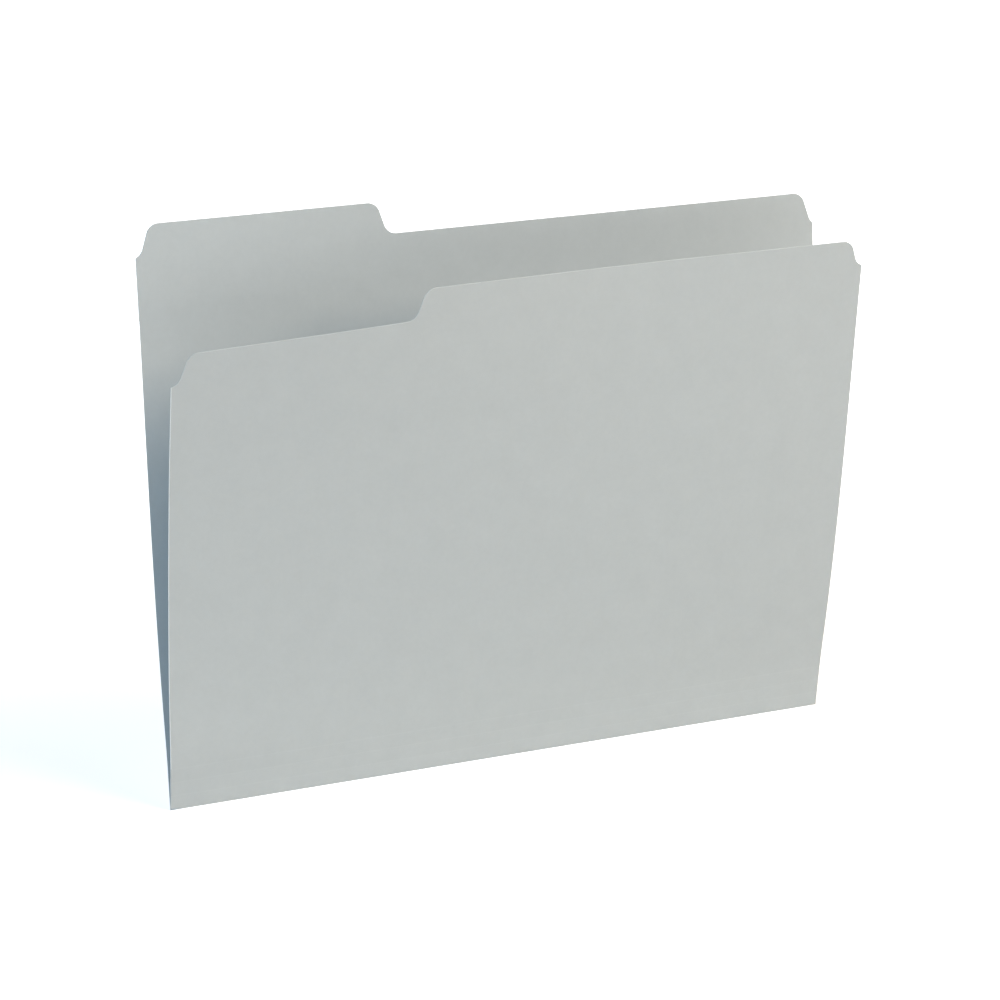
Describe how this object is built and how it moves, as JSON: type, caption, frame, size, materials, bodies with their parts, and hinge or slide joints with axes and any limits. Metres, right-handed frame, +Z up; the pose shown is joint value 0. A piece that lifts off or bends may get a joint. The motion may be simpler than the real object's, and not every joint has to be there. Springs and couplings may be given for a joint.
{
  "type": "reinforced file folder",
  "caption": "Grey card file folder with a reinforced tab at the left, curved die-cut corners and an undercut front cover; it opens at its bottom fold and its bottom squares out at a score.",
  "frame": {"origin": "centre of the footprint of the standing, slightly open folder, on the surface that its fold touches", "axes": "+X along the fold, towards the end away from the tab; +Y from the front cover to the back cover; +Z up"},
  "size_m": [0.2954, 0.0488, 0.2407],
  "materials": {
    "back_card": "matte",
    "ply_card": "matte",
    "crease_card": "matte",
    "front_card": "matte"
  },
  "bodies": {
    "fold_line": {"fold_crease": "crease_card"},
    "back_half": {"back_cover": "back_card", "tab_reinforcement": "ply_card"},
    "spine": {"spine_band_1": "front_card", "spine_band_2": "front_card", "spine_band_3": "front_card", "score_crease": "crease_card"},
    "front_half": {"front_cover": "front_card"}
  },
  "joints": [
    {"name": "cover_open", "type": "hinge", "parent": "fold_line", "child": "back_half", "pos_m": [0, 0.0031, 0.00033], "axis": [-1, 0, 0], "range_deg": [-12, 168]},
    {"name": "spine_expand", "type": "hinge", "parent": "fold_line", "child": "spine", "pos_m": [0, 0.0031, 0.00033], "axis": [1, 0, 0], "range_deg": [0, 90]},
    {"name": "front_score", "type": "hinge", "parent": "spine", "child": "front_half", "pos_m": [0, 0.00055, 0.01921], "axis": [1, 0, 0], "range_deg": [-90, 0]}
  ],
  "couplings": [
    {"joint": "front_score", "follows": "spine_expand", "ratio": -1}
  ]
}
